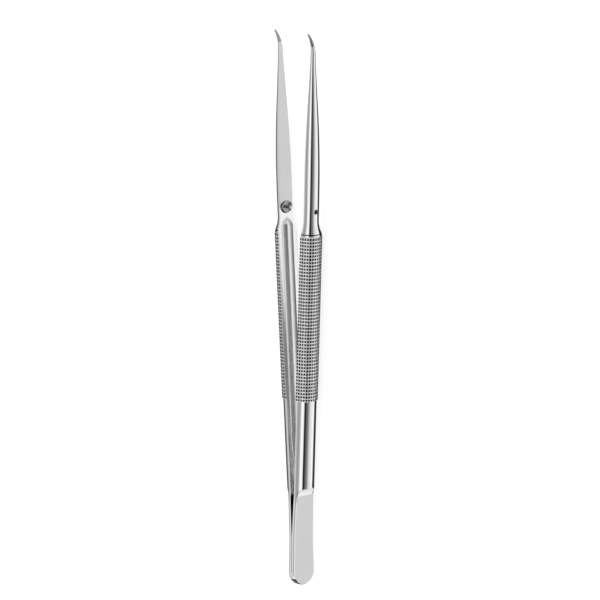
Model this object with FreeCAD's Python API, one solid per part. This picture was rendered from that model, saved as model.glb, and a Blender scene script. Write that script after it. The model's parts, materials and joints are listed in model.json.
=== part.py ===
"""Spring thumb forceps with round knurled grips, a guide pin and curved micro tips.

Each arm is drawn in its own frame: the flat inner face lies in x = 0 with the metal on the +x side,
y runs from the seam's root towards the tip, and z is the side that the tips curve to.
"""
import FreeCAD, Part
import math
import os

from FreeCAD import Placement, Rotation, Vector

# Driving dimensions, in millimetres and degrees.
LENGTH = 180.0          # along one arm, tail end to tip end
HALF_ANGLE = 3.0        # each arm from the middle plane, at rest
SEAM = 15.8             # brazed length, tail end to the seam's root
PLATE_T = 1.3           # tail plate thickness
PLATE_R = 4.4           # half width of the plate at the tail end
SHANK_R = 3.75          # half-round shank
SCOOP_R = 2.8           # round cutter that leaves the shoulder
SHOULDER = 29.6         # tail end to the foot of the shoulder
GRIP_START = 61.0       # tail end to the first knurl ring
NOSE = 65.5             # last knurl ring to the tip's end; the grip fills what is left of the length
KNURL_PITCH = 1.07      # wanted spacing of the knurl rings
COLUMNS = 15            # knurl columns around one half
ROOT_R = 3.8            # bottom of the knurl grooves
CREST_R = 4.15          # points of the knurl
COLLAR_R = 3.95         # plain ring between the knurl and the nose
COLLAR_W = 0.7
NOSE_R = 2.85           # nose behind the bend
FLARE = 4.5             # length over which the nose swells to the collar
BEND_PAST_GRIP = 10.5   # where the nose is bent inwards
NOSE_BEND = 0.95
FULL_PAST_BEND = 5.0    # the nose starts to taper here
NECK_FROM_TIP = 10.0
NECK_R = 1.02
CURVE_R = 0.95          # half width where the curve starts
MIDDLE_FROM_TIP = 22.0  # straight taper from the neck to here, then a long arc
MIDDLE_R = 1.8
CURVE_FROM_TIP = 6.8    # where the tip starts to curve
TIP_ANGLE = 39.0        # how far the tip turns up
TIP_R = 0.3             # half width just behind the tip's end
TIP_POINT = 0.2         # length of the small cone that ends the tip
TIP_END_R = 0.15
TIP_SECTIONS = 6
CHANNEL_R = 2.45        # round channel in the inner face
CHANNEL_START = 36.7    # tail end to the channel's lower point
CHANNEL_PAST_GRIP = 5.0 # last knurl ring to its upper point
CHANNEL_RUNOUT = 10.0   # long point at the shank
CHANNEL_POINT = 2.9     # short point at the nose
POINT_RISE = 0.45       # each point's inner part is steeper: its share of the length
POINT_WAIST = 0.68      # and of the radius
PIN_PAST_GRIP = 8.1     # last knurl ring to the guide pin
PIN_R = 0.55
PIN_OUT = 2.9           # stand-out above the inner face
PIN_IN = 2.1            # pressed into the arm
PIN_POINT = 0.2         # cone at its end
HOLE_R = 0.65           # guide hole in the other arm
SEAT_DEPTH = 0.8        # oval seat, ground across the face with a crowned wheel
SEAT_HALF = 2.05
SEAT_WHEEL_R = 4.5

GRIP_END = LENGTH - NOSE
RINGS = round((GRIP_END - GRIP_START) / KNURL_PITCH)
RING_PITCH = (GRIP_END - GRIP_START) / RINGS
BEND_AT = GRIP_END + BEND_PAST_GRIP
FULL_AT = BEND_AT + FULL_PAST_BEND
CHANNEL_END = GRIP_END + CHANNEL_PAST_GRIP
PIN_AT = GRIP_END + PIN_PAST_GRIP
ALONG = Vector(0, 1, 0)
UP = Vector(0, 0, 1)


def along(distance_from_tail):
    """Place along the arm, measured from the seam's root."""
    return distance_from_tail - SEAM


def turned(edges, angle):
    """Revolve a profile about the y axis; edges run in order, as (y, radius) in the x = 0 plane."""
    first, last = edges[0].Vertexes[0].Point, edges[-1].Vertexes[-1].Point
    start, end = Vector(0, first.y, 0), Vector(0, last.y, 0)
    outline = list(edges)
    if last.z > 0:
        outline.append(Part.makeLine(last, end))
    outline.append(Part.makeLine(end, start))
    if first.z > 0:
        outline.append(Part.makeLine(start, first))
    return Part.Face(Part.Wire(outline)).revolve(Vector(0, 0, 0), ALONG, angle)


def straight(*points):
    """Profile lines through (y, radius) places."""
    corners = [Vector(0, y, r) for y, r in points]
    return [Part.makeLine(a, b) for a, b in zip(corners, corners[1:])]


def level_arc(steep, level):
    """Profile arc between two (y, radius) places that runs level into the second."""
    run, rise = level[0] - steep[0], level[1] - steep[1]
    arc_r = (run ** 2 + rise ** 2) / (2 * abs(rise))
    sag = arc_r - math.sqrt(arc_r ** 2 - (run / 2) ** 2)
    middle = (level[0] - run / 2, level[1] - math.copysign(sag, rise))
    return Part.Arc(*[Vector(0, y, r) for y, r in (steep, middle, level)]).toShape()


def half_bar(start, end, radius):
    """Plain half-round bar between two places on the axis."""
    return turned(straight((start, radius), (end, radius)), 180)


def tail_plate(start, end, rounded):
    """Flat plate in the y-z plane, wider towards the tail, between two distances from the tail end."""
    def half_width(distance):
        share = (distance - PLATE_R) / (SHOULDER + SCOOP_R - PLATE_R)
        return PLATE_R + (SHANK_R - PLATE_R) * min(max(share, 0.0), 1.0)

    near = max(start, PLATE_R)
    low, high = half_width(near), half_width(end)
    corners = [Vector(0, along(near), low), Vector(0, along(end), high),
               Vector(0, along(end), -high), Vector(0, along(near), -low)]
    sides = [Part.makeLine(a, b) for a, b in zip(corners, corners[1:])]
    if rounded:
        tail = Part.Arc(corners[3], Vector(0, along(0), 0), corners[0]).toShape()
    else:
        tail = Part.makeLine(corners[3], corners[0])
    return Part.Face(Part.Wire(sides + [tail])).extrude(Vector(PLATE_T, 0, 0))


def shank():
    """Half-round shank with the shoulder that a round cutter leaves above the plate."""
    bar = half_bar(along(SHOULDER), along(GRIP_START), SHANK_R)
    cutter_axis = Vector(PLATE_T + SCOOP_R, along(SHOULDER), -SHANK_R - 1)
    cutter = Part.makeCylinder(SCOOP_R, 2 * SHANK_R + 2, cutter_axis, UP)
    return bar.cut(cutter)


def knurl_point(radius, column, ring):
    angle = math.pi * (column / COLUMNS - 0.5)
    place = along(GRIP_START) + ring * RING_PITCH
    return Vector(radius * math.cos(angle), place, radius * math.sin(angle))


def knurled_grip():
    """Half-round grip whose skin is a grid of four-sided points between ring and length grooves."""
    grid = [[knurl_point(ROOT_R, column, ring) for ring in range(RINGS + 1)]
            for column in range(COLUMNS + 1)]
    for edge in (0, COLUMNS):
        for point in grid[edge]:
            point.x = 0.0
    faces = []
    for column in range(COLUMNS):
        for ring in range(RINGS):
            crest = knurl_point(CREST_R, column + 0.5, ring + 0.5)
            base = [grid[column][ring], grid[column + 1][ring],
                    grid[column + 1][ring + 1], grid[column][ring + 1]]
            for side in range(4):
                corners = [base[side], base[(side + 1) % 4], crest]
                faces.append(Part.Face(Part.makePolygon(corners + corners[:1])))
    for ring in (0, RINGS):
        rim = [row[ring] for row in grid]
        faces.append(Part.Face(Part.makePolygon(rim + rim[:1])))
    flat = grid[0] + grid[COLUMNS][::-1]
    faces.append(Part.Face(Part.makePolygon(flat + flat[:1])))
    skin = Part.makeShell(faces)
    skin.sewShape()
    solid = Part.Solid(skin)
    if solid.Volume < 0:
        solid.reverse()
    return solid


def nose_back():
    """Plain ring, flare and the straight part of the nose up to its bend."""
    start = along(GRIP_END)
    flare_start = start + COLLAR_W
    flare_end = flare_start + FLARE
    ring = half_bar(start, flare_start, COLLAR_R)
    flare = turned([level_arc((flare_start, COLLAR_R), (flare_end, NOSE_R))], 180)
    plain = half_bar(flare_end, along(BEND_AT), NOSE_R)
    return [ring, flare, plain]


def half_round(middle, across, radius):
    """Half-round outline with its straight side in the plane of the inner face."""
    top, bottom = middle + across * radius, middle - across * radius
    arc = Part.Arc(bottom, middle + Vector(radius, 0, 0), top).toShape()
    return Part.Wire([arc, Part.makeLine(top, bottom)])


def tip_radius(from_tip):
    """The tip narrows evenly to its end, which is a small cone."""
    if from_tip < TIP_POINT:
        return TIP_END_R
    share = (from_tip - TIP_POINT) / (CURVE_FROM_TIP - TIP_POINT)
    return TIP_R + (CURVE_R - TIP_R) * share


def tip_section(from_tip):
    """Outline across the curved tip; the curve stays in the plane of the inner face."""
    turn = math.radians(TIP_ANGLE) * (1 - from_tip / CURVE_FROM_TIP)
    bow_r = CURVE_FROM_TIP / math.radians(TIP_ANGLE)
    middle = Vector(0, along(LENGTH - CURVE_FROM_TIP) + bow_r * math.sin(turn), bow_r * (1 - math.cos(turn)))
    across = Vector(0, -math.sin(turn), math.cos(turn))
    return half_round(middle, across, tip_radius(from_tip))


def nose_front():
    """Bend, long taper, neck and curved tip."""
    bend, full = along(BEND_AT), along(FULL_AT)
    middle, neck = along(LENGTH - MIDDLE_FROM_TIP), along(LENGTH - NECK_FROM_TIP)
    curve = along(LENGTH - CURVE_FROM_TIP)
    pivot = Vector(0, bend, 0)
    wedge = Part.Face(half_round(pivot, UP, NOSE_R)).revolve(pivot, UP, NOSE_BEND)
    plain = half_bar(bend, full, NOSE_R)
    swell = turned([level_arc((middle, MIDDLE_R), (full, NOSE_R))], 180)
    taper = turned(straight((middle, MIDDLE_R), (neck, NECK_R), (curve, CURVE_R)), 180)
    step = (CURVE_FROM_TIP - TIP_POINT) / TIP_SECTIONS
    places = [CURVE_FROM_TIP - step * count for count in range(TIP_SECTIONS + 1)] + [0.0]
    tip = Part.makeLoft([tip_section(place) for place in places], True, True)
    for part in (plain, swell, taper, tip):
        part.rotate(pivot, UP, NOSE_BEND)
    return [wedge, plain, swell, taper, tip]


def channel():
    """Round cutter path of the channel, with a blunt point at the nose and a long one at the shank."""
    start, end = along(CHANNEL_START), along(CHANNEL_END)
    low, high = start + CHANNEL_RUNOUT, end - CHANNEL_POINT
    waist_r = CHANNEL_R * POINT_WAIST
    profile = straight((start, 0), (start + CHANNEL_RUNOUT * POINT_RISE, waist_r), (low, CHANNEL_R),
                       (high, CHANNEL_R), (end - CHANNEL_POINT * POINT_RISE, waist_r), (end, 0))
    return turned(profile, 360)


def pin_seat():
    """Crowned grinding wheel that leaves the oval seat around the pin."""
    axis_x = -(SEAT_WHEEL_R - SEAT_DEPTH)
    rim = SEAT_WHEEL_R - SEAT_DEPTH
    y = along(PIN_AT)

    def at(radius, offset):
        return Vector(axis_x + radius, y + offset, 0)

    edges = [Part.makeLine(at(0, -SEAT_HALF), at(rim, -SEAT_HALF)),
             Part.Arc(at(rim, -SEAT_HALF), at(SEAT_WHEEL_R, 0), at(rim, SEAT_HALF)).toShape(),
             Part.makeLine(at(rim, SEAT_HALF), at(0, SEAT_HALF)),
             Part.makeLine(at(0, SEAT_HALF), at(0, -SEAT_HALF))]
    return Part.Face(Part.Wire(edges)).revolve(at(0, 0), ALONG, 360)


def arm():
    """One arm with its metal on the +x side; the plate below the seam's root stays unturned."""
    pieces = [tail_plate(SEAM, SHOULDER + SCOOP_R, False), shank(), knurled_grip()]
    pieces += nose_back() + nose_front()
    body = pieces[0].multiFuse(pieces[1:])
    return body.cut(channel())


def opened(shape):
    """Swing a shape of the arm frame out to the rest angle about the seam's root."""
    swung = shape.copy()
    swung.rotate(Vector(0, 0, 0), UP, -HALF_ANGLE)
    return swung


def finished(body):
    """Add the brazed end of the plate and return one clean solid."""
    whole = body.fuse(tail_plate(0.0, SEAM, True))
    solids = whole.Solids
    if len(solids) != 1:
        raise ValueError("an arm came out as %d solids" % len(solids))
    return solids[0]


def guide_pin():
    """Turned pin with a coned end, drawn pointing away from the +x metal."""
    y = along(PIN_AT)
    outline = [(PIN_IN, 0), (PIN_IN, PIN_R), (PIN_POINT - PIN_OUT, PIN_R), (-PIN_OUT, PIN_R - PIN_POINT),
               (-PIN_OUT, 0)]
    corners = [Vector(x, y + r, 0) for x, r in outline]
    face = Part.Face(Part.makePolygon(corners + corners[:1]))
    return face.revolve(Vector(0, y, 0), Vector(1, 0, 0), 360)


def build():
    half = arm()
    y = along(PIN_AT)
    hole = Part.makeCylinder(HOLE_R, NOSE_R + 2, Vector(-1, y, 0), Vector(1, 0, 0))
    socket = Part.makeCylinder(PIN_R, PIN_IN + 1, Vector(-1, y, 0), Vector(1, 0, 0))
    right = finished(opened(half.cut(hole)))
    left = finished(opened(half.cut(pin_seat()).cut(socket)))
    pin = opened(guide_pin())
    middle = Vector(0, 0, 0)
    across = Vector(1, 0, 0)
    return {"right_arm": right, "left_arm": left.mirror(middle, across), "guide_pin": pin.mirror(middle, across)}


def placed(shapes):
    """Move the whole so that its box stands on z = 0 with its middle over the origin."""
    box = FreeCAD.BoundBox()
    for shape in shapes.values():
        box.add(shape.optimalBoundingBox(False, False))
    shift = Vector(0, -(box.YMin + box.YMax) / 2, -box.ZMin)
    for shape in shapes.values():
        shape.Placement = Placement(shift, Rotation()).multiply(shape.Placement)
    print("seam root at y = %.4f, z = %.4f" % (shift.y, shift.z))
    print("box %.3f x %.3f x %.3f" % (box.XLength, box.YLength, box.ZLength))
    return shapes


def main():
    os.makedirs("parts", exist_ok=True)
    for name, shape in placed(build()).items():
        print(name, "volume %.1f" % shape.Volume, "valid", shape.isValid(), "solids", len(shape.Solids))
        shape.exportStep("parts/%s.step" % name)


main()
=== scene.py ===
"""Looks of a pair of spring thumb forceps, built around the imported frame.

Each arm is one steel mesh that runs through outlines taken across it, from the rounded tail
plate to the curved tip. The knurl of the grips is a bead repeated by geometry nodes. Sizes are
metres, and a place is a distance along an arm from its tail end.
"""
import json
import math

import bmesh
import bpy
from bpy.props import FloatProperty, FloatVectorProperty, IntProperty, PointerProperty
from mathutils import Matrix, Vector


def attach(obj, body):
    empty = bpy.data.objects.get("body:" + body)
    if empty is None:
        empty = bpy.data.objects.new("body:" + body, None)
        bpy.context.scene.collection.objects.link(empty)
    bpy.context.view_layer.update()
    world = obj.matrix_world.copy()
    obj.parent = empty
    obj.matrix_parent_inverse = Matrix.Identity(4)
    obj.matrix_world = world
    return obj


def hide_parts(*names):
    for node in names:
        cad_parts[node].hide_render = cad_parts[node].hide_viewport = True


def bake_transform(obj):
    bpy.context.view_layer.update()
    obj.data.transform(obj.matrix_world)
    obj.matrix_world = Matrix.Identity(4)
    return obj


bl_info = {
    "name": "Thumb forceps",
    "version": (1, 0, 0),
    "blender": (4, 5, 0),
    "location": "3D View > Sidebar > Forceps",
    "description": "Steel arms, knurled grips, guide pin and studio for a pair of thumb forceps",
    "category": "Object",
}

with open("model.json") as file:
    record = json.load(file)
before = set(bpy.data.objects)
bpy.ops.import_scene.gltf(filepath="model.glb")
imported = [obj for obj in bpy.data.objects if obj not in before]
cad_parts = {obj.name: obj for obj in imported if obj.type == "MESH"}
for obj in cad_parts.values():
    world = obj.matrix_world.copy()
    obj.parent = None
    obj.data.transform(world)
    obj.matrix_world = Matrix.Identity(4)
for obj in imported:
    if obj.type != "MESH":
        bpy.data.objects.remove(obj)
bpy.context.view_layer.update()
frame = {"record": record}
HINGE = Vector(frame["record"]["behaviour"]["joints"][0]["pos_m"])
FIXED_BODY = "left_half"
MOVING_BODY = "right_half"
MM = 0.001
SIDES = {"left": -1, "right": 1}
TINY = 1e-9             # rounding of a place or a height
WELD = 0.0005 * MM      # points closer than this are one point
SLIVER = 0.0002 * MM    # edges shorter than this are dissolved

# Steps of an outline across an arm
SIDE_STEPS = 8          # up its side, below the plate's face
PLAIN_STEPS = 2         # of which on the straight part of the plate's side
FLANK_STEPS = 8         # from there to the edge that the shoulder's cutter leaves
CROWN_STEPS = 12        # from that edge to the crown
CHANNEL_STEPS = 24
LAND_STEPS = 3          # flat strip beside the channel
OUTER_COUNT = 2 * (SIDE_STEPS + FLANK_STEPS + CROWN_STEPS) + 1

# How outlines change along an arm
TAIL_STEPS = 40         # round the tail end
CUT_STEPS = 18          # up the shoulder's cut
HAIR = 0.002 * MM       # beside a place where the radius jumps
BEND_RUN = 0.1 * MM     # on each side of the nose's bend
THIN_EDGE = 0.1         # the broken edge takes this part of the radius at most
FACE_GAP = 0.02 * MM    # from the plate's corner to the next point of its outer face
PLATE_RUN = 3 * MM      # before the shoulder the plate's outline starts to turn half-round
PLATE_BLEND = 3.5 * MM  # length over which it does
CROWN_RUN = 4 * MM      # past the shoulder, length over which the crown's points spread out
CROWN_ANGLE = math.radians(45)
POINT_SPREAD = 0.8      # how fast the channel's lines part beyond its points
POINT_LIMIT = 0.5       # part of the inner face's half width that they reach

# Narrow painted dark lines and bands: painted reflection and shade
GRIP_RIM = 0.08 * MM    # painted dark line, painted shade where the knurl ends
SHOULDER_RIM = 0.12 * MM  # painted dark line along the shoulder's crown, a painted reflection of its rounded edge
TAIL_SIDE = 0.18        # part of the tail's half turn that stays polished on each side; between them the rim is painted dark reflection

# Turned forms
WHEEL_STEPS, WHEEL_SEGMENTS = 24, 256
WHEEL_HUB = 0.5         # part of the wheel's rim radius
DRILL_SEGMENTS = 48
PIN_STEPS, ROUNDING_STEPS, PIN_SEGMENTS = 4, 6, 40

# Knurl
WALL = 0.15             # part of a groove's half width that its steep wall takes
WALL_DROP = 0.45        # part of a groove's depth that the wall takes
GROOVE_STEPS = 2        # from a bead's edge to its top

# Surfaces that turn by more than this many degrees meet in a sharp edge
ARM_CREASE, GRIP_CREASE, PIN_CREASE = 28, 12, 35

# Finishes by number: material, colour, roughness, its variation, depth of grinding in millimetres.
# Three paint light and shade into their colour: painted dark, painted dim and the groove walls'
# painted highlight
FINISHES = (("steel_polished", "polished", 0.05, 0.02, 0.0001),
            ("steel_satin", "satin", 0.34, 0.10, 0.0008),
            ("steel_bright", "bright", 0.2, 0.05, 0.0002),
            ("steel_milled", "bright", 0.28, 0.06, 0.0003),
            # Near-black painted dark reflection and shade, not a finish of the steel
            ("steel_painted_dark", "painted_dark", 0.08, 0.04, 0.0001),
            # Painted shade and dark reflection in the seat, the guide hole and on the tips
            ("steel_painted_dim", "painted_dim", 0.12, 0.04, 0.0001),
            # Painted highlight: whiter than the steel so that the knurl's groove walls read white
            ("steel_painted_bright", "grooves", 0.3, 0.06, 0.0003))
POLISHED, SATIN, BRIGHT, MILLED, PAINTED_DARK, PAINTED_DIM, PAINTED_BRIGHT = range(len(FINISHES))
LINE_DETAIL = 3.0       # of the grinding lines' noise
CLOUD_SCALE = 140.0     # of the cloudiness' noise
NOISE_MEAN = 1.0        # of two noises added

# Light tent: brightness by angle about the forceps in degrees, 0 to the right and 90 above
TENT = ((-180, 0.10), (-173, 0.12), (-142, 0.14), (-125, 0.06), (-80, 0.03), (-70, 0.08),
        (-63, 1.1), (-54, 1.2), (-40, 1.04), (-28, 0.96), (-17, 0.86), (-6, 0.6), (4, 0.3),
        (14, 0.19), (25, 0.12), (31, 0.02), (38, 0.01), (44, 0.1), (48, 0.85), (57, 1.15),
        (67, 1.2), (74, 0.95), (84, 0.55), (92, 0.4), (106, 0.38), (115, 0.5), (123, 0.7),
        (140, 0.85), (150, 0.72), (160, 0.42), (168, 0.2), (176, 0.1))
# Its ends: where along the forceps each begins, where it is full, and its brightness
TENT_ENDS = ((0.62, 0.88, 1.05), (-0.5, -0.72, 1.05))

# White sheet
SHEET_HALF = 2.0
SHEET_WHITE = 0.3
SHEET_ROUGHNESS = 0.9
SHEET_GLOW = 0.8

# Camera
SENSOR_MM = 36.0
FAR_CLIP = 10.0


def length_property(name, millimetres, description):
    return FloatProperty(name=name, description=description, default=millimetres * MM,
                         unit="LENGTH", precision=5)


def angle_property(name, degrees, description):
    return FloatProperty(name=name, description=description, default=math.radians(degrees),
                         subtype="ANGLE")


def colour_property(name, description, default):
    return FloatVectorProperty(name=name, description=description, subtype="COLOR",
                               default=default)


class ArmSizes(bpy.types.PropertyGroup):
    """Sizes of one arm."""
    length: length_property("Length", 180.0, "Tail end to tip end")
    half_angle: angle_property("Half angle", 3.0, "Each arm from the middle plane at rest")
    seam: length_property("Seam", 15.8, "Brazed length of the tail")
    plate_t: length_property("Plate thickness", 1.3, "Thickness of the tail plate")
    plate_r: length_property("Plate half width", 4.4, "Half width at the tail end")
    plate_side_r: length_property("Plate side", 1.1, "Radius of the plate's crowned sides")
    plate_corner: angle_property("Plate corner", 50.0, "Slope where the side meets the outer face")
    shank_r: length_property("Shank radius", 3.75, "Half-round shank")
    scoop_r: length_property("Shoulder cutter", 2.8, "Radius of the cut that leaves the shoulder")
    shoulder: length_property("Shoulder", 29.6, "Foot of the shoulder")
    grip_start: length_property("Grip start", 61.0, "First knurl ring")
    core_r: length_property("Grip core", 3.8, "Radius under the knurl")
    collar_r: length_property("Collar radius", 4.03, "Crown of the plain ring at the grip's end")
    collar_side: length_property("Collar side", 0.17, "Drop from the ring's crown to its sides")
    collar_w: length_property("Collar width", 0.7, "Length of that ring")
    groove_w: length_property("Groove width", 0.34, "Turned groove between ring and flare")
    groove_r: length_property("Groove radius", 3.7, "Bottom of that groove")
    flare_r: length_property("Flare radius", 3.9, "Large end of the flare")
    flare: length_property("Flare", 4.5, "Length over which the nose swells to the collar")
    nose_r: length_property("Nose radius", 2.85, "Nose behind the bend")
    bend_from_tip: length_property("Bend", 55.0, "Where the nose bends inwards, from the tip")
    nose_bend: angle_property("Nose bend", 0.95, "How far the nose bends inwards")
    full_from_tip: length_property("Full nose", 50.0, "The nose tapers from here, from the tip")
    middle_from_tip: length_property("Middle", 22.0, "The taper turns straight here, from the tip")
    middle_r: length_property("Middle radius", 1.8, "Radius there")
    neck_from_tip: length_property("Neck", 10.0, "The neck starts here, from the tip")
    neck_r: length_property("Neck radius", 1.02, "Radius there")
    curve_from_tip: length_property("Curve", 6.8, "The tip starts to curve here, from the tip")
    curve_r: length_property("Curve radius", 0.95, "Half width where the curve starts")
    tip_angle: angle_property("Tip angle", 39.0, "How far the tip turns up")
    tip_r: length_property("Tip radius", 0.3, "Half width just behind the end")
    tip_point: length_property("Tip point", 0.2, "Length of the small cone at the end")
    tip_end_r: length_property("Tip end radius", 0.15, "Half width of the end")
    # Painted dark reflection of the curved tip starts here
    painted_dim_from_tip: length_property("Ground tip", 4.76, "The dark tip starts here, from the tip")
    flat_from_tip: length_property("Satin flat", 57.4, "The satin flat starts here, from the tip")
    chamfer: length_property("Chamfer", 0.09, "Broken edge along the inner face")
    channel_r: length_property("Channel radius", 2.45, "Round channel in the inner face")
    channel_start: length_property("Channel start", 36.7, "Its long point at the shank")
    channel_end: length_property("Channel end", 119.5, "Its short point at the nose")
    channel_runout: length_property("Long point", 10.0, "Length of the point at the shank")
    channel_point: length_property("Short point", 3.1, "Length of the point at the nose")
    point_power: FloatProperty(name="Point shape", description="How full each point is",
                               default=1.7)


class KnurlSizes(bpy.types.PropertyGroup):
    """Cross-cut knurl: a grid of beads between ring grooves and length grooves."""
    rings: IntProperty(name="Rings", description="Rings of beads along a grip", default=50, min=1)
    columns: IntProperty(name="Columns", description="Beads around one half", default=15, min=1)
    ring_pitch: length_property("Ring pitch", 1.07, "Spacing along the grip")
    crest_r: length_property("Crest radius", 4.13, "Top of the beads")
    ring_groove: length_property("Ring groove", 0.27, "Depth of the grooves around the grip")
    column_groove: length_property("Column groove", 0.24, "Depth of the grooves along the grip")
    foot_r: length_property("Foot radius", 3.6, "Underside of a bead, inside the core")
    flat_along: FloatProperty(name="Flat along", default=0.64,
                              description="Part of a bead's length that is its top")
    flat_around: FloatProperty(name="Flat around", default=0.7,
                               description="Part of a bead's width that is its top")


class PinSizes(bpy.types.PropertyGroup):
    """Guide pin, its seat in the left arm and its hole in the right arm."""
    place: length_property("Place", 122.6, "Tail end to the pin")
    radius: length_property("Radius", 0.55, "Pin radius")
    out: length_property("Stand-out", 2.9, "Above the inner face")
    inside: length_property("Inside", 2.0, "Length in the arm")
    rounding: length_property("Rounding", 0.22, "Rounding of the free end")
    hole_r: length_property("Hole radius", 0.65, "Guide hole")
    hole_sink: length_property("Countersink", 0.22, "Broken edge of the hole's mouth")
    seat_depth: length_property("Seat depth", 0.8, "Oval seat in the inner face")
    seat_half: length_property("Seat half length", 2.05, "Half length of the seat along the arm")
    wheel_r: length_property("Wheel radius", 4.5, "Crowned wheel that leaves the seat")


class SteelColours(bpy.types.PropertyGroup):
    """Colours of the steel finishes; the painted dark, painted dim and groove colours paint
    reflection and shade.
    """
    polished: colour_property("Polished", "Polished rounds", (0.82, 0.82, 0.825))
    satin: colour_property("Satin", "Flats of nose and tail plate", (0.63, 0.63, 0.632))
    bright: colour_property("Bright", "Pin, inner faces and channel", (0.84, 0.84, 0.845))
    # Painted dark reflection and shade, near-black: knurl tops, lines at the grip's end and the
    # shoulder's crown, turned groove, tail rim and the tail's gap
    painted_dark: colour_property("Painted dark", "Knurl tops, turned groove, tail rim and the tail's gap",
                          (0.045, 0.045, 0.046))
    # Painted highlight: brighter than any steel so that the knurl's groove walls read white
    grooves: colour_property("Grooves", "Walls of the knurl's grooves", (0.95, 0.95, 0.955))
    # Painted dim: painted shade and dark reflection on the seat, in the guide hole and on the
    # curved tips
    painted_dim: colour_property("Painted dim", "Seat, guide hole and curved tips", (0.3, 0.3, 0.302))


class StudioSizes(bpy.types.PropertyGroup):
    """Camera."""
    elevation: angle_property("Elevation", 42.48, "Camera above the floor, on the right side")
    toward_tips: angle_property("Toward tips", 10.50, "Camera moved round towards the tips")
    roll: angle_property("Roll", -0.53, "Small turn of the picture")
    distance: length_property("Distance", 1838.9, "Camera to its target")
    target: FloatVectorProperty(name="Target", description="Point that the camera looks at",
                                default=(-0.000208, 0.003117, 0.003771), subtype="XYZ",
                                precision=6)
    lens: FloatProperty(name="Lens", description="Focal length in millimetres", default=346.04)


# Arm outlines


def spread(start, end, count):
    return [start + (end - start) * step / count for step in range(count + 1)]


def smooth(share):
    share = min(max(share, 0.0), 1.0)
    return share * share * (3 - 2 * share)


def level_arc(distance, run, rise):
    """Height of an arc that leaves a level line and reaches rise after run."""
    arc_r = (run ** 2 + rise ** 2) / (2 * rise)
    return arc_r - math.sqrt(arc_r ** 2 - distance ** 2)


def grip_end(arm, knurl):
    return arm.grip_start + knurl.rings * knurl.ring_pitch


def outer_radius(arm, knurl, place):
    """Radius of the half-round outside at a distance from the tail end."""
    end = grip_end(arm, knurl)
    collar_end = end + arm.collar_w
    flare_start = collar_end + arm.groove_w
    flare_end = collar_end + arm.flare
    from_tip = arm.length - place
    if place < arm.grip_start:
        return arm.shank_r
    if place < end:
        return arm.core_r
    if place < collar_end:
        share = 2 * (place - end) / arm.collar_w - 1
        return arm.collar_r - arm.collar_side * share ** 2
    if place < flare_start:
        share = abs(2 * (place - collar_end) / arm.groove_w - 1)
        return arm.groove_r + (arm.flare_r - arm.groove_r) * share
    if place < flare_end:
        return arm.nose_r + level_arc(flare_end - place, flare_end - flare_start,
                                      arm.flare_r - arm.nose_r)
    if from_tip > arm.full_from_tip:
        return arm.nose_r
    if from_tip > arm.middle_from_tip:
        run = arm.full_from_tip - arm.middle_from_tip
        return arm.nose_r - level_arc(arm.full_from_tip - from_tip, run, arm.nose_r - arm.middle_r)
    steps = [(0.0, arm.tip_end_r), (arm.tip_point, arm.tip_r), (arm.curve_from_tip, arm.curve_r),
             (arm.neck_from_tip, arm.neck_r), (arm.middle_from_tip, arm.middle_r)]
    for (near, near_r), (far, far_r) in zip(steps, steps[1:]):
        if from_tip <= far:
            return near_r + (far_r - near_r) * (max(from_tip, 0.0) - near) / (far - near)
    return arm.middle_r


def plate_half_width(arm, place):
    share = (place - arm.plate_r) / (arm.shoulder + arm.scoop_r - arm.plate_r)
    return arm.plate_r + (arm.shank_r - arm.plate_r) * min(max(share, 0.0), 1.0)


def shoulder_height(arm, place):
    """Height that the shoulder's cutter leaves above the inner face."""
    along = place - arm.shoulder
    if along <= 0:
        return arm.plate_t
    if along >= arm.scoop_r:
        return arm.plate_t + arm.scoop_r
    return arm.plate_t + arm.scoop_r - math.sqrt(arm.scoop_r ** 2 - along ** 2)


def shoulder_crown(arm):
    """Distance past the shoulder's foot at which the cutter leaves the shank's crown."""
    below = arm.plate_t + arm.scoop_r - arm.shank_r
    return math.sqrt(arm.scoop_r ** 2 - below ** 2)


def broken_edge(arm, radius):
    """Width of the broken edge, less where the arm is thin."""
    return min(arm.chamfer, THIN_EDGE * radius)


def round_half(arm, radius, height, crown_angle):
    """Upper half of a half-round outline, from the inner face's edge to the crown."""
    def on_arc(angle):
        return (radius * math.cos(angle), radius * math.sin(angle))

    low = math.acos(broken_edge(arm, radius) / radius)
    side = math.acos(arm.plate_t / arm.shank_r)
    points = [on_arc(angle) for angle in spread(low, side, SIDE_STEPS)]
    if height < radius:
        edge = math.acos(height / radius)
        points += [on_arc(angle) for angle in spread(side, edge, FLANK_STEPS)[1:]]
        half = radius * math.sin(edge)
        points += [(height, z) for z in spread(half, 0.0, CROWN_STEPS)[1:]]
        return points
    points += [on_arc(angle) for angle in spread(side, crown_angle, FLANK_STEPS)[1:]]
    return points + [on_arc(angle) for angle in spread(crown_angle, 0.0, CROWN_STEPS)[1:]]


def plate_half(arm, half_width):
    """Upper half of the tail plate's outline, in as many points as the half-round one."""
    r = arm.plate_side_r
    middle = arm.plate_t - r * math.cos(arm.plate_corner)
    points = [(x, half_width) for x in spread(arm.chamfer, middle, PLAIN_STEPS)]
    for angle in spread(math.pi / 2, arm.plate_corner, SIDE_STEPS - PLAIN_STEPS)[1:]:
        points.append((middle + r * math.cos(angle), half_width - r + r * math.sin(angle)))
    start = points[-1][1]
    end = min(start - FACE_GAP, math.sqrt(arm.shank_r ** 2 - arm.plate_t ** 2))
    points += [(arm.plate_t, z) for z in spread(start, end, FLANK_STEPS)[1:]]
    return points + [(arm.plate_t, z) for z in spread(end, 0.0, CROWN_STEPS)[1:]]


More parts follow.
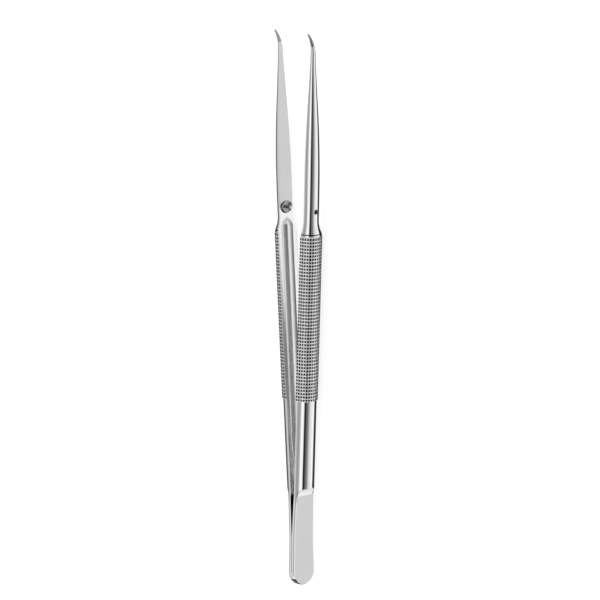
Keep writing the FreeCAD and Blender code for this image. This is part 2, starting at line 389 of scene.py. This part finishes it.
def channel_width(arm, place):
    """Half width of the channel, and whether it is cut there at all."""
    if arm.channel_start < place < arm.channel_end:
        low = min((place - arm.channel_start) / arm.channel_runout, 1.0)
        high = min((arm.channel_end - place) / arm.channel_point, 1.0)
        return arm.channel_r * (1 - (1 - min(low, high)) ** arm.point_power), True
    beyond = max(arm.channel_start - place, place - arm.channel_end)
    return POINT_SPREAD * beyond + HAIR, False


def inner_face(arm, edge, place):
    """Inner face from the lower edge to the upper one, with the channel."""
    width, cut = channel_width(arm, place)
    width = min(width, arm.channel_r if cut else POINT_LIMIT * edge)
    arc = []
    for angle in spread(-math.pi / 2, math.pi / 2, CHANNEL_STEPS):
        arc.append((width * math.cos(angle) if cut else 0.0, width * math.sin(angle)))
    land = [(0.0, -z) for z in spread(edge, width, LAND_STEPS)[:-1]]
    return land + arc + [(0.0, -z) for _, z in reversed(land)]


def outline(arm, knurl, place):
    """Closed outline across the arm: over the outside, then back along the inner face."""
    radius = outer_radius(arm, knurl, place)
    past_crown = place - arm.shoulder - shoulder_crown(arm)
    crown_angle = CROWN_ANGLE * smooth(past_crown / CROWN_RUN)
    height = shoulder_height(arm, place) if past_crown < 0 else 2 * radius
    upper = round_half(arm, radius, height, crown_angle)
    edge = radius - broken_edge(arm, radius)
    blend = smooth((place - arm.shoulder + PLATE_RUN) / PLATE_BLEND)
    if blend < 1:
        half_width = plate_half_width(arm, place)
        flat = plate_half(arm, half_width)
        upper = [(a[0] + (b[0] - a[0]) * blend, a[1] + (b[1] - a[1]) * blend)
                 for a, b in zip(flat, upper)]
        edge = edge * blend + (half_width - arm.chamfer) * (1 - blend)
    lower = [(x, -z) for x, z in reversed(upper[:-1])]
    return upper + lower + inner_face(arm, edge, place)


# Arm path and mesh


def spine(arm, place):
    """Middle of the inner face's line at a place, with its outward and across directions."""
    bend = arm.length - arm.bend_from_tip
    curve = arm.length - arm.curve_from_tip
    handle, nose = arm.half_angle, arm.half_angle - arm.nose_bend

    def heading(angle):
        return Vector((math.sin(angle), math.cos(angle), 0))

    turn, up = 0.0, 0.0
    if place <= arm.seam:
        middle = Vector((0, place - arm.seam, 0))
    elif place <= bend:
        turn = handle
        middle = heading(handle) * (place - arm.seam)
    else:
        turn = nose
        run = min(place, curve) - bend
        rise = 0.0
        if place > curve:
            bow = arm.curve_from_tip / arm.tip_angle
            up = arm.tip_angle * (place - curve) / arm.curve_from_tip
            run += bow * math.sin(up)
            rise = bow * (1 - math.cos(up))
        middle = heading(handle) * (bend - arm.seam) + heading(nose) * run + Vector((0, 0, rise))
    outward = Vector((math.cos(turn), -math.sin(turn), 0))
    across = Vector((0, 0, math.cos(up))) - heading(turn) * math.sin(up)
    return middle, outward, across


def stations(arm, knurl):
    """Places at which outlines are taken, close together where the form changes."""
    end = grip_end(arm, knurl)
    groove = end + arm.collar_w
    crown = arm.shoulder + shoulder_crown(arm)
    runout = arm.channel_start + arm.channel_runout
    bend = arm.length - arm.bend_from_tip
    middle = arm.length - arm.middle_from_tip
    curve = arm.length - arm.curve_from_tip
    places = [arm.shoulder + arm.scoop_r * math.sin(angle)
              for angle in spread(0.0, math.asin((crown - arm.shoulder) / arm.scoop_r), CUT_STEPS)]
    places += [bend - BEND_RUN, bend + BEND_RUN, arm.length - arm.flat_from_tip, arm.length]
    for first, last, steps in ((arm.plate_r, arm.seam, 8),
                               (arm.seam, arm.shoulder - PLATE_RUN, 8),
                               (arm.shoulder - PLATE_RUN, arm.shoulder, 10),
                               (crown, arm.channel_start, 12),
                               (arm.channel_start, runout, 24),
                               (runout, arm.grip_start - HAIR, 8),
                               (arm.grip_start + HAIR, end - HAIR, 24),
                               (end + HAIR, groove, 8),
                               (groove, groove + arm.groove_w, 2),
                               (groove + arm.groove_w, arm.channel_end, 44),
                               (arm.channel_end, bend, 12),
                               (bend, middle, 34),
                               (middle, curve, 16),
                               (curve, arm.length - arm.tip_point, 26)):
        places += spread(first, last, steps)
    kept = []
    for place in sorted(places):
        if not kept or place - kept[-1] > 0.5 * HAIR:
            kept.append(place)
    return kept


def tail_rows(arm, knurl):
    """The rounded tail end: the plate's upper half outline turned about the middle of its end."""
    upper = [(x, abs(z)) for x, z in outline(arm, knurl, arm.plate_r) if z >= -TINY]
    middle = arm.plate_r - arm.seam
    return [[Vector((x, middle - reach * math.sin(angle), reach * math.cos(angle)))
             for x, reach in upper] for angle in spread(math.pi, 0.0, TAIL_STEPS)]


def face_finish(arm, knurl, place, column):
    """Finish of a face from the start of its run along the arm and its column in the outline. The
    painted dark and painted dim finishes paint reflection and shade.
    """
    tip = arm.length - arm.painted_dim_from_tip
    if column >= OUTER_COUNT:
        arc = LAND_STEPS <= column - OUTER_COUNT < LAND_STEPS + CHANNEL_STEPS
        if arc and channel_width(arm, place)[1]:
            return MILLED
        # Inner face of the tail plate, facing the other arm across the gap: painted shade
        if place < arm.shoulder:
            return PAINTED_DARK
        # Inner face of the curved tip: painted dark reflection
        if place > tip:
            return PAINTED_DIM
        return SATIN if place > arm.length - arm.flat_from_tip - TINY else BRIGHT
    past_grip = place - grip_end(arm, knurl)
    # Painted dark line where the knurl ends, and painted shade in the turned groove
    if 0 <= past_grip < GRIP_RIM or -TINY <= past_grip - arm.collar_w < arm.groove_w - TINY:
        return PAINTED_DARK
    from_edge = min(column, OUTER_COUNT - 2 - column)
    if place < arm.shoulder - TINY:
        return SATIN if from_edge >= SIDE_STEPS else POLISHED
    crown = arm.shoulder + shoulder_crown(arm)
    if place < crown - TINY:
        # Painted dark line at the edge that the cutter leaves and along the shoulder's crown:
        # painted reflection
        foot = SIDE_STEPS + FLANK_STEPS
        if from_edge == foot or from_edge > foot and place > crown - SHOULDER_RIM:
            return PAINTED_DARK
        return MILLED if from_edge > foot else POLISHED
    # Curved tip: painted dark reflection
    return PAINTED_DIM if place > tip else POLISHED


def tail_finish(row, column):
    """Finish of a face of the rounded tail end: satin outer face, painted dark reflection on the
    rim, polished sides.
    """
    if SIDE_STEPS <= column < OUTER_COUNT // 2:
        return SATIN
    return PAINTED_DARK if TAIL_SIDE < row / (TAIL_STEPS + 1) < 1 - TAIL_SIDE else POLISHED


def plain_mesh(name, mesh):
    """Turn a closed form's faces outwards and make it a mesh."""
    bmesh.ops.recalc_face_normals(mesh, faces=mesh.faces)
    data = bpy.data.meshes.new(name)
    mesh.to_mesh(data)
    mesh.free()
    return data


def arm_mesh(name, arm, knurl, side):
    """One arm as a closed mesh where it lies; side is -1 for the left arm and 1 for the right."""
    mesh = bmesh.new()

    def placed(point):
        return mesh.verts.new((HINGE.x + side * point.x, HINGE.y + point.y, HINGE.z + point.z))

    def skin(rows, finish):
        for number, (row, following) in enumerate(zip(rows, rows[1:])):
            for column in range(len(row)):
                beside = (column + 1) % len(row)
                face = mesh.faces.new([row[column], row[beside],
                                       following[beside], following[column]])
                face.material_index = finish(number, column)

    places = stations(arm, knurl)
    rows = []
    for place in places:
        middle, outward, across = spine(arm, place)
        if abs(place - arm.seam) < SLIVER:
            outward = Vector((math.cos(arm.half_angle / 2), -math.sin(arm.half_angle / 2), 0))
        rows.append([placed(middle + outward * x + across * z)
                     for x, z in outline(arm, knurl, place)])
    skin(rows, lambda row, column: face_finish(arm, knurl, places[row], column))
    mesh.faces.new(rows[-1])
    skin([[placed(point) for point in row] for row in tail_rows(arm, knurl)], tail_finish)
    bmesh.ops.remove_doubles(mesh, verts=mesh.verts, dist=WELD)
    bmesh.ops.dissolve_degenerate(mesh, dist=SLIVER, edges=mesh.edges)
    return plain_mesh(name, mesh)


def new_object(name, data, materials):
    piece = bpy.data.objects.new(name, data)
    bpy.context.scene.collection.objects.link(piece)
    for material in materials:
        data.materials.append(material)
    return piece


def finish_shading(piece, degrees):
    """Smooth faces with sharp edges where the surface turns by more than an angle."""
    data = piece.data
    data.polygons.foreach_set("use_smooth", [True] * len(data.polygons))
    data.set_sharp_from_angle(angle=math.radians(degrees))
    data.update()


def apply_modifiers(piece):
    """Turn a piece's evaluated shape into its plain mesh and drop the modifiers."""
    graph = bpy.context.evaluated_depsgraph_get()
    baked = bpy.data.meshes.new_from_object(piece.evaluated_get(graph))
    old = piece.data
    piece.modifiers.clear()
    piece.data = baked
    bpy.data.meshes.remove(old)


def cut(piece, cutter):
    """Take a closed cutter out of a piece."""
    modifier = piece.modifiers.new("cut", "BOOLEAN")
    modifier.operation = "DIFFERENCE"
    modifier.solver = "EXACT"
    modifier.object = cutter
    bpy.context.view_layer.update()
    apply_modifiers(piece)
    bpy.data.objects.remove(cutter)


def lathe(name, profile, segments, place, axis, start):
    """Closed turned form; its profile gives height along the axis and radius, end to end."""
    mesh = bmesh.new()
    other = axis.cross(start)
    rows = []
    for height, radius in profile:
        row = []
        for step in range(segments):
            angle = 2 * math.pi * step / segments
            reach = start * math.cos(angle) + other * math.sin(angle)
            row.append(mesh.verts.new(place + axis * height + reach * radius))
        rows.append(row)
    for row, following in zip(rows, rows[1:]):
        for step in range(segments):
            beside = (step + 1) % segments
            mesh.faces.new([row[step], row[beside], following[beside], following[step]])
    mesh.faces.new(rows[0])
    mesh.faces.new(rows[-1])
    bmesh.ops.remove_doubles(mesh, verts=mesh.verts, dist=WELD)
    return plain_mesh(name, mesh)


def on_arm(arm, place, side):
    """Point on an arm's inner face, with its outward, across and along directions there."""
    middle, outward, across = spine(arm, place)
    point = Vector((HINGE.x + side * middle.x, HINGE.y + middle.y, HINGE.z + middle.z))
    outward = Vector((side * outward.x, outward.y, outward.z))
    return point, outward, across, across.cross(outward) * side


def seat_cutter(arm, pin):
    """Crowned wheel that leaves the oval seat in the left arm."""
    point, outward, _, along = on_arm(arm, pin.place, SIDES["left"])
    rim = pin.wheel_r - pin.seat_depth
    crown_r = (pin.seat_half ** 2 + pin.seat_depth ** 2) / (2 * pin.seat_depth)
    profile = [(-pin.seat_half, WHEEL_HUB * rim)]
    for offset in spread(-pin.seat_half, pin.seat_half, WHEEL_STEPS):
        crown = math.sqrt(crown_r ** 2 - offset ** 2) - (crown_r - pin.seat_depth)
        profile.append((offset, rim + crown))
    profile.append((pin.seat_half, WHEEL_HUB * rim))
    return lathe("seat_wheel", profile, WHEEL_SEGMENTS, point - outward * rim, along, outward)


def hole_cutter(arm, pin):
    """Drill with a broken edge at the outside of the right arm."""
    point, outward, across, _ = on_arm(arm, pin.place, SIDES["right"])
    profile = [(-MM, pin.hole_r), (arm.nose_r - pin.hole_sink, pin.hole_r),
               (arm.nose_r + MM, pin.hole_r + pin.hole_sink + MM)]
    return lathe("hole_drill", profile, DRILL_SEGMENTS, point, outward, across)


def pin_mesh(arm, pin):
    """Turned guide pin that stands out of the left arm's inner face."""
    point, outward, across, _ = on_arm(arm, pin.place, SIDES["left"])
    straight = pin.out - pin.rounding
    profile = [(-pin.inside, pin.radius)]
    profile += [(height, pin.radius) for height in spread(-pin.seat_depth, straight, PIN_STEPS)]
    for angle in spread(0.0, math.pi / 2, ROUNDING_STEPS)[1:]:
        profile.append((straight + pin.rounding * math.sin(angle),
                        pin.radius - pin.rounding + pin.rounding * math.cos(angle)))
    return lathe("guide_pin_turned", profile, PIN_SEGMENTS, point, -outward, across)


# Nodes


def maths(tree, operation, *values):
    """A Math node's result; its inputs are numbers or other nodes' outputs."""
    node = tree.nodes.new("ShaderNodeMath")
    node.operation = operation
    for socket, value in zip(node.inputs, values):
        if isinstance(value, (int, float)):
            socket.default_value = value
        else:
            tree.links.new(value, socket)
    return node.outputs[0]


def grey(level):
    return (level, level, level, 1.0)


# Knurl


def bead_mesh(knurl):
    """One bead, centred on the +x side: a closed form whose foot lies inside the grip's core."""
    mesh = bmesh.new()
    half_turn = math.pi / knurl.columns / 2

    def marks(flat):
        side = [flat, flat + WALL * (1 - flat), 1.0]
        return [-mark for mark in reversed(side)] + [0.0] + side

    def drop(mark, flat, depth):
        share = max(abs(mark) - flat, 0.0) / (1 - flat)
        steep = WALL_DROP * min(share / WALL, 1.0)
        return depth * (steep + (1 - WALL_DROP) * max(share - WALL, 0.0) / (1 - WALL))

    top = []
    for u in marks(knurl.flat_around):
        row = []
        for v in marks(knurl.flat_along):
            radius = knurl.crest_r - max(drop(u, knurl.flat_around, knurl.column_groove),
                                         drop(v, knurl.flat_along, knurl.ring_groove))
            angle = u * half_turn
            row.append(mesh.verts.new((radius * math.cos(angle), v * knurl.ring_pitch / 2,
                                       radius * math.sin(angle))))
        top.append(row)
    last = len(top) - 1
    on_top = range(GROOVE_STEPS, last - GROOVE_STEPS)
    for i in range(last):
        for j in range(last):
            face = mesh.faces.new([top[i][j], top[i + 1][j], top[i + 1][j + 1], top[i][j + 1]])
            # Top faces take slot 1, the painted dark reflection; the walls take slot 0, the
            # painted highlight
            face.material_index = int(i in on_top and j in on_top)
    rim = [top[i][0] for i in range(last)] + [top[last][j] for j in range(last)]
    rim += [top[i][last] for i in range(last, 0, -1)] + [top[0][j] for j in range(last, 0, -1)]
    foot = []
    for corner in rim:
        share = knurl.foot_r / math.hypot(corner.co.x, corner.co.z)
        foot.append(mesh.verts.new((corner.co.x * share, corner.co.y, corner.co.z * share)))
    for step, corner in enumerate(rim):
        beside = (step + 1) % len(rim)
        mesh.faces.new([corner, rim[beside], foot[beside], foot[step]])
    mesh.faces.new(foot)
    return plain_mesh("knurl_bead", mesh)


def knurl_tree(walls, tops):
    """Geometry nodes: beads at every crossing of ring and column around half a bar."""
    tree = bpy.data.node_groups.new("knurled_half_bar", "GeometryNodeTree")
    sockets = {}
    for name, kind in (("Bead", "Object"), ("Rings", "Int"), ("Columns", "Int"),
                       ("Ring Pitch", "Float"), ("Start", "Float")):
        socket = tree.interface.new_socket(name, in_out="INPUT", socket_type="NodeSocket" + kind)
        sockets[name] = socket.identifier
    tree.interface.new_socket("Geometry", in_out="OUTPUT", socket_type="NodeSocketGeometry")
    nodes, links = tree.nodes, tree.links
    given = nodes.new("NodeGroupInput").outputs
    index = nodes.new("GeometryNodeInputIndex").outputs[0]
    columns = given["Columns"]
    count = maths(tree, "MULTIPLY", given["Rings"], columns)
    ring = maths(tree, "FLOOR", maths(tree, "DIVIDE", maths(tree, "ADD", index, 0.5), columns))
    column = maths(tree, "SUBTRACT", index, maths(tree, "MULTIPLY", ring, columns))
    along = maths(tree, "MULTIPLY_ADD", maths(tree, "ADD", ring, 0.5), given["Ring Pitch"],
                  given["Start"])
    share = maths(tree, "DIVIDE", maths(tree, "ADD", column, 0.5), columns)
    turn = maths(tree, "MULTIPLY", maths(tree, "SUBTRACT", share, 0.5), -math.pi)
    line = nodes.new("GeometryNodeMeshLine")
    links.new(count, line.inputs["Count"])
    place = nodes.new("ShaderNodeCombineXYZ")
    links.new(along, place.inputs["Y"])
    move = nodes.new("GeometryNodeSetPosition")
    links.new(line.outputs["Mesh"], move.inputs["Geometry"])
    links.new(place.outputs[0], move.inputs["Position"])
    bead = nodes.new("GeometryNodeObjectInfo")
    links.new(given["Bead"], bead.inputs["Object"])
    euler = nodes.new("ShaderNodeCombineXYZ")
    links.new(turn, euler.inputs["Y"])
    instance = nodes.new("GeometryNodeInstanceOnPoints")
    links.new(move.outputs["Geometry"], instance.inputs["Points"])
    links.new(bead.outputs["Geometry"], instance.inputs["Instance"])
    links.new(euler.outputs[0], instance.inputs["Rotation"])
    realize = nodes.new("GeometryNodeRealizeInstances")
    links.new(instance.outputs["Instances"], realize.inputs["Geometry"])
    result = nodes.new("NodeGroupOutput")
    shape = realize.outputs["Geometry"]
    # Slot 0, the walls, gets the painted highlight; slot 1, the tops, the painted dark reflection
    for slot, material in enumerate((walls, tops)):
        chosen = nodes.new("FunctionNodeCompare")
        chosen.data_type = "INT"
        chosen.operation = "EQUAL"
        links.new(nodes.new("GeometryNodeInputMaterialIndex").outputs[0], chosen.inputs[2])
        chosen.inputs[3].default_value = slot
        paint = nodes.new("GeometryNodeSetMaterial")
        paint.inputs["Material"].default_value = material
        links.new(shape, paint.inputs["Geometry"])
        links.new(chosen.outputs[0], paint.inputs["Selection"])
        shape = paint.outputs["Geometry"]
    links.new(shape, result.inputs["Geometry"])
    return tree, sockets


def grip_object(name, arm, knurl, tree, sockets, bead, side):
    """Knurled skin of one grip, made by the nodes and then laid along its arm."""
    piece = new_object(name, bpy.data.meshes.new(name), [])
    modifier = piece.modifiers.new("knurl", "NODES")
    modifier.node_group = tree
    for socket, value in (("Bead", bead), ("Rings", knurl.rings), ("Columns", knurl.columns),
                          ("Ring Pitch", knurl.ring_pitch), ("Start", arm.grip_start - arm.seam)):
        modifier[sockets[socket]] = value
    bpy.context.view_layer.update()
    apply_modifiers(piece)
    piece.data.transform(Matrix.Rotation(-arm.half_angle, 4, "Z"))
    piece.data.transform(Matrix.Diagonal((side, 1, 1, 1)))
    piece.data.transform(Matrix.Translation(HINGE))
    if side < 0:
        piece.data.flip_normals()
    return piece


# Finishes


def grind_group():
    """Fine grinding lines along the steel and faint cloudiness, shared by every finish."""
    group = bpy.data.node_groups.new("steel_grind", "ShaderNodeTree")
    for name, default in (("Line Scale", 2600.0), ("Stretch", 0.03), ("Roughness", 0.15),
                          ("Variation", 0.05)):
        socket = group.interface.new_socket(name, in_out="INPUT", socket_type="NodeSocketFloat")
        socket.default_value = default
    for name in ("Roughness", "Height"):
        group.interface.new_socket(name, in_out="OUTPUT", socket_type="NodeSocketFloat")
    nodes, links = group.nodes, group.links
    given = nodes.new("NodeGroupInput").outputs
    place = nodes.new("ShaderNodeTexCoord").outputs["Object"]
    stretch = nodes.new("ShaderNodeCombineXYZ")
    stretch.inputs["X"].default_value = 1.0
    stretch.inputs["Z"].default_value = 1.0
    links.new(given["Stretch"], stretch.inputs["Y"])
    squeeze = nodes.new("ShaderNodeVectorMath")
    squeeze.operation = "MULTIPLY"
    links.new(place, squeeze.inputs[0])
    links.new(stretch.outputs[0], squeeze.inputs[1])
    lines = nodes.new("ShaderNodeTexNoise")
    lines.inputs["Detail"].default_value = LINE_DETAIL
    links.new(squeeze.outputs[0], lines.inputs["Vector"])
    links.new(given["Line Scale"], lines.inputs["Scale"])
    cloud = nodes.new("ShaderNodeTexNoise")
    cloud.inputs["Scale"].default_value = CLOUD_SCALE
    links.new(place, cloud.inputs["Vector"])
    both = maths(group, "ADD", lines.outputs["Fac"], cloud.outputs["Fac"])
    level = maths(group, "SUBTRACT", both, NOISE_MEAN)
    roughness = maths(group, "MULTIPLY_ADD", level, given["Variation"], given["Roughness"])
    result = nodes.new("NodeGroupOutput")
    links.new(roughness, result.inputs["Roughness"])
    links.new(lines.outputs["Fac"], result.inputs["Height"])
    return group


def steel(name, group, colour, roughness, variation, depth):
    """Bare stainless steel with grinding lines of a given depth in metres."""
    material = bpy.data.materials.new(name)
    material.use_nodes = True
    nodes, links = material.node_tree.nodes, material.node_tree.links
    shader = nodes["Principled BSDF"]
    shader.inputs["Base Color"].default_value = (*colour, 1.0)
    shader.inputs["Metallic"].default_value = 1.0
    grind = nodes.new("ShaderNodeGroup")
    grind.node_tree = group
    grind.inputs["Roughness"].default_value = roughness
    grind.inputs["Variation"].default_value = variation
    links.new(grind.outputs["Roughness"], shader.inputs["Roughness"])
    bump = nodes.new("ShaderNodeBump")
    bump.inputs["Strength"].default_value = 1.0
    bump.inputs["Distance"].default_value = depth
    links.new(grind.outputs["Height"], bump.inputs["Height"])
    links.new(bump.outputs["Normal"], shader.inputs["Normal"])
    return material


def finishes(colours):
    """The materials of the finishes in the order of their numbers, made once."""
    made = [bpy.data.materials.get(finish[0]) for finish in FINISHES]
    if all(made):
        return made
    group = grind_group()
    return [steel(name, group, getattr(colours, colour), roughness, variation, depth * MM)
            for name, colour, roughness, variation, depth in FINISHES]


# Studio


def camera_axes(studio):
    """Right, up and back directions of the camera."""
    level = math.cos(studio.toward_tips)
    back = Vector((math.cos(studio.elevation) * level, math.sin(studio.toward_tips),
                   math.sin(studio.elevation) * level))
    right = Vector((math.sin(studio.elevation), 0, -math.cos(studio.elevation)))
    up = back.cross(right)
    c, s = math.cos(studio.roll), math.sin(studio.roll)
    return right * c + up * s, up * c - right * s, back


def studio_world():
    """Tent that polished steel mirrors: its strips run along the forceps, with plain ends."""
    world = bpy.data.worlds.new("light_tent")
    world.use_nodes = True
    nodes, links = world.node_tree.nodes, world.node_tree.links
    nodes.clear()
    coords = nodes.new("ShaderNodeTexCoord")
    split = nodes.new("ShaderNodeSeparateXYZ")
    links.new(coords.outputs["Generated"], split.inputs[0])
    angle = maths(world.node_tree, "ARCTAN2", split.outputs["Z"], split.outputs["X"])
    share = nodes.new("ShaderNodeMapRange")
    share.inputs["From Min"].default_value = -math.pi
    share.inputs["From Max"].default_value = math.pi
    links.new(angle, share.inputs["Value"])
    ramp = nodes.new("ShaderNodeValToRGB")
    marks = ramp.color_ramp.elements
    marks.remove(marks[-1])
    for step, (degrees, level) in enumerate(TENT):
        position = (degrees + 180) / 360
        mark = marks[0] if step == 0 else marks.new(position)
        mark.position = position
        mark.color = grey(level)
    links.new(share.outputs["Result"], ramp.inputs["Fac"])
    tent = ramp.outputs["Color"]
    for begin, full, level in TENT_ENDS:
        end = nodes.new("ShaderNodeMapRange")
        end.interpolation_type = "SMOOTHSTEP"
        end.inputs["From Min"].default_value = begin
        end.inputs["From Max"].default_value = full
        links.new(split.outputs["Y"], end.inputs["Value"])
        layer = nodes.new("ShaderNodeMix")
        layer.data_type = "RGBA"
        links.new(end.outputs["Result"], layer.inputs["Factor"])
        links.new(tent, layer.inputs["A"])
        layer.inputs["B"].default_value = grey(level)
        tent = layer.outputs["Result"]
    path = nodes.new("ShaderNodeLightPath")
    mix = nodes.new("ShaderNodeMix")
    mix.data_type = "RGBA"
    links.new(path.outputs["Is Glossy Ray"], mix.inputs["Factor"])
    mix.inputs["A"].default_value = grey(1.0)
    links.new(tent, mix.inputs["B"])
    background = nodes.new("ShaderNodeBackground")
    links.new(mix.outputs["Result"], background.inputs["Color"])
    output = nodes.new("ShaderNodeOutputWorld")
    links.new(background.outputs[0], output.inputs[0])
    return world


def floor_object():
    """Plain white sheet that keeps a soft shadow."""
    data = bpy.data.meshes.new("white_sheet")
    corners = ((-1, -1), (1, -1), (1, 1), (-1, 1))
    data.from_pydata([(SHEET_HALF * x, SHEET_HALF * y, 0) for x, y in corners], [], [(0, 1, 2, 3)])
    material = bpy.data.materials.new("white_paper")
    material.use_nodes = True
    nodes, links = material.node_tree.nodes, material.node_tree.links
    shader = nodes["Principled BSDF"]
    shader.inputs["Base Color"].default_value = grey(SHEET_WHITE)
    shader.inputs["Roughness"].default_value = SHEET_ROUGHNESS
    shader.inputs["Specular IOR Level"].default_value = 0.0
    glow = nodes.new("ShaderNodeEmission")
    glow.inputs["Strength"].default_value = SHEET_GLOW
    both = nodes.new("ShaderNodeAddShader")
    links.new(shader.outputs[0], both.inputs[0])
    links.new(glow.outputs[0], both.inputs[1])
    path = nodes.new("ShaderNodeLightPath")
    choose = nodes.new("ShaderNodeMixShader")
    links.new(path.outputs["Is Camera Ray"], choose.inputs[0])
    links.new(shader.outputs[0], choose.inputs[1])
    links.new(both.outputs[0], choose.inputs[2])
    links.new(choose.outputs[0], nodes["Material Output"].inputs["Surface"])
    sheet = new_object("white_sheet", data, [material])
    sheet.visible_glossy = False
    return sheet


# Operators and panel


class FORCEPS_OT_arms(bpy.types.Operator):
    """Build both steel arms and put them in place of the plain solids"""
    bl_idname = "forceps.arms"
    bl_label = "Arms"

    def execute(self, context):
        scene = context.scene
        arm, knurl, pin = scene.forceps_arm, scene.forceps_knurl, scene.forceps_pin
        steels = finishes(scene.forceps_colours)
        pieces = {}
        for name, side in SIDES.items():
            title = name + "_arm_steel"
            piece = new_object(title, arm_mesh(title, arm, knurl, side), steels)
            cutter = seat_cutter(arm, pin) if name == "left" else hole_cutter(arm, pin)
            # Faces of the seat and the guide hole get painted shade and dark reflection
            cutter.polygons.foreach_set("material_index", [PAINTED_DIM] * len(cutter.polygons))
            cut(piece, new_object("cutter", cutter, steels))
            finish_shading(piece, ARM_CREASE)
            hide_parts(name + "_arm")
            pieces[name] = piece
        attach(pieces["left"], FIXED_BODY)
        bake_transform(pieces["right"])
        return {"FINISHED"}


class FORCEPS_OT_grips(bpy.types.Operator):
    """Knurl both grips with geometry nodes"""
    bl_idname = "forceps.grips"
    bl_label = "Knurled grips"

    def execute(self, context):
        scene = context.scene
        arm, knurl = scene.forceps_arm, scene.forceps_knurl
        steels = finishes(scene.forceps_colours)
        # Groove walls carry the painted highlight, bead tops the painted dark reflection
        walls, tops = steels[PAINTED_BRIGHT], steels[PAINTED_DARK]
        bead = new_object("knurl_bead", bead_mesh(knurl), [walls, tops])
        tree, sockets = knurl_tree(walls, tops)
        for name, side in SIDES.items():
            piece = grip_object(name + "_grip_knurl", arm, knurl, tree, sockets, bead, side)
            finish_shading(piece, GRIP_CREASE)
            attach(piece, FIXED_BODY if name == "left" else MOVING_BODY)
        bpy.data.objects.remove(bead)
        return {"FINISHED"}


class FORCEPS_OT_guide_pin(bpy.types.Operator):
    """Turn the guide pin"""
    bl_idname = "forceps.guide_pin"
    bl_label = "Guide pin"

    def execute(self, context):
        scene = context.scene
        bright = finishes(scene.forceps_colours)[BRIGHT]
        turned = pin_mesh(scene.forceps_arm, scene.forceps_pin)
        piece = new_object("guide_pin_turned", turned, [bright])
        finish_shading(piece, PIN_CREASE)
        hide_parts("guide_pin")
        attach(piece, FIXED_BODY)
        return {"FINISHED"}


class FORCEPS_OT_stage(bpy.types.Operator):
    """Set up the white floor, the light tent and the camera"""
    bl_idname = "forceps.stage"
    bl_label = "Stage"

    def execute(self, context):
        scene = context.scene
        studio = scene.forceps_studio
        scene.view_settings.view_transform = "Standard"
        scene.world = studio_world()
        floor_object()
        right, up, back = camera_axes(studio)
        target = Vector(studio.target)
        data = bpy.data.cameras.new("camera")
        data.lens = studio.lens
        data.sensor_width = SENSOR_MM
        data.clip_end = FAR_CLIP
        camera = bpy.data.objects.new("camera", data)
        scene.collection.objects.link(camera)
        turn = Matrix((right, up, back)).transposed().to_4x4()
        camera.matrix_world = Matrix.Translation(target + back * studio.distance) @ turn
        scene.camera = camera
        return {"FINISHED"}


class FORCEPS_PT_panel(bpy.types.Panel):
    """Steps of the build in the sidebar"""
    bl_idname = "FORCEPS_PT_panel"
    bl_label = "Thumb forceps"
    bl_space_type = "VIEW_3D"
    bl_region_type = "UI"
    bl_category = "Forceps"

    def draw(self, context):
        for operator in OPERATORS:
            self.layout.operator(operator.bl_idname)


GROUPS = {"forceps_arm": ArmSizes, "forceps_knurl": KnurlSizes, "forceps_pin": PinSizes,
          "forceps_colours": SteelColours, "forceps_studio": StudioSizes}
OPERATORS = (FORCEPS_OT_arms, FORCEPS_OT_grips, FORCEPS_OT_guide_pin, FORCEPS_OT_stage)


def register():
    for group in GROUPS.values():
        bpy.utils.register_class(group)
    for name, group in GROUPS.items():
        setattr(bpy.types.Scene, name, PointerProperty(type=group))
    for operator in OPERATORS:
        bpy.utils.register_class(operator)
    bpy.utils.register_class(FORCEPS_PT_panel)


def unregister():
    bpy.utils.unregister_class(FORCEPS_PT_panel)
    for operator in reversed(OPERATORS):
        bpy.utils.unregister_class(operator)
    for name, group in GROUPS.items():
        delattr(bpy.types.Scene, name)
        bpy.utils.unregister_class(group)


def main():
    register()
    bpy.ops.forceps.arms()
    bpy.ops.forceps.grips()
    bpy.ops.forceps.guide_pin()
    bpy.ops.forceps.stage()


if __name__ == "__main__":
    main()
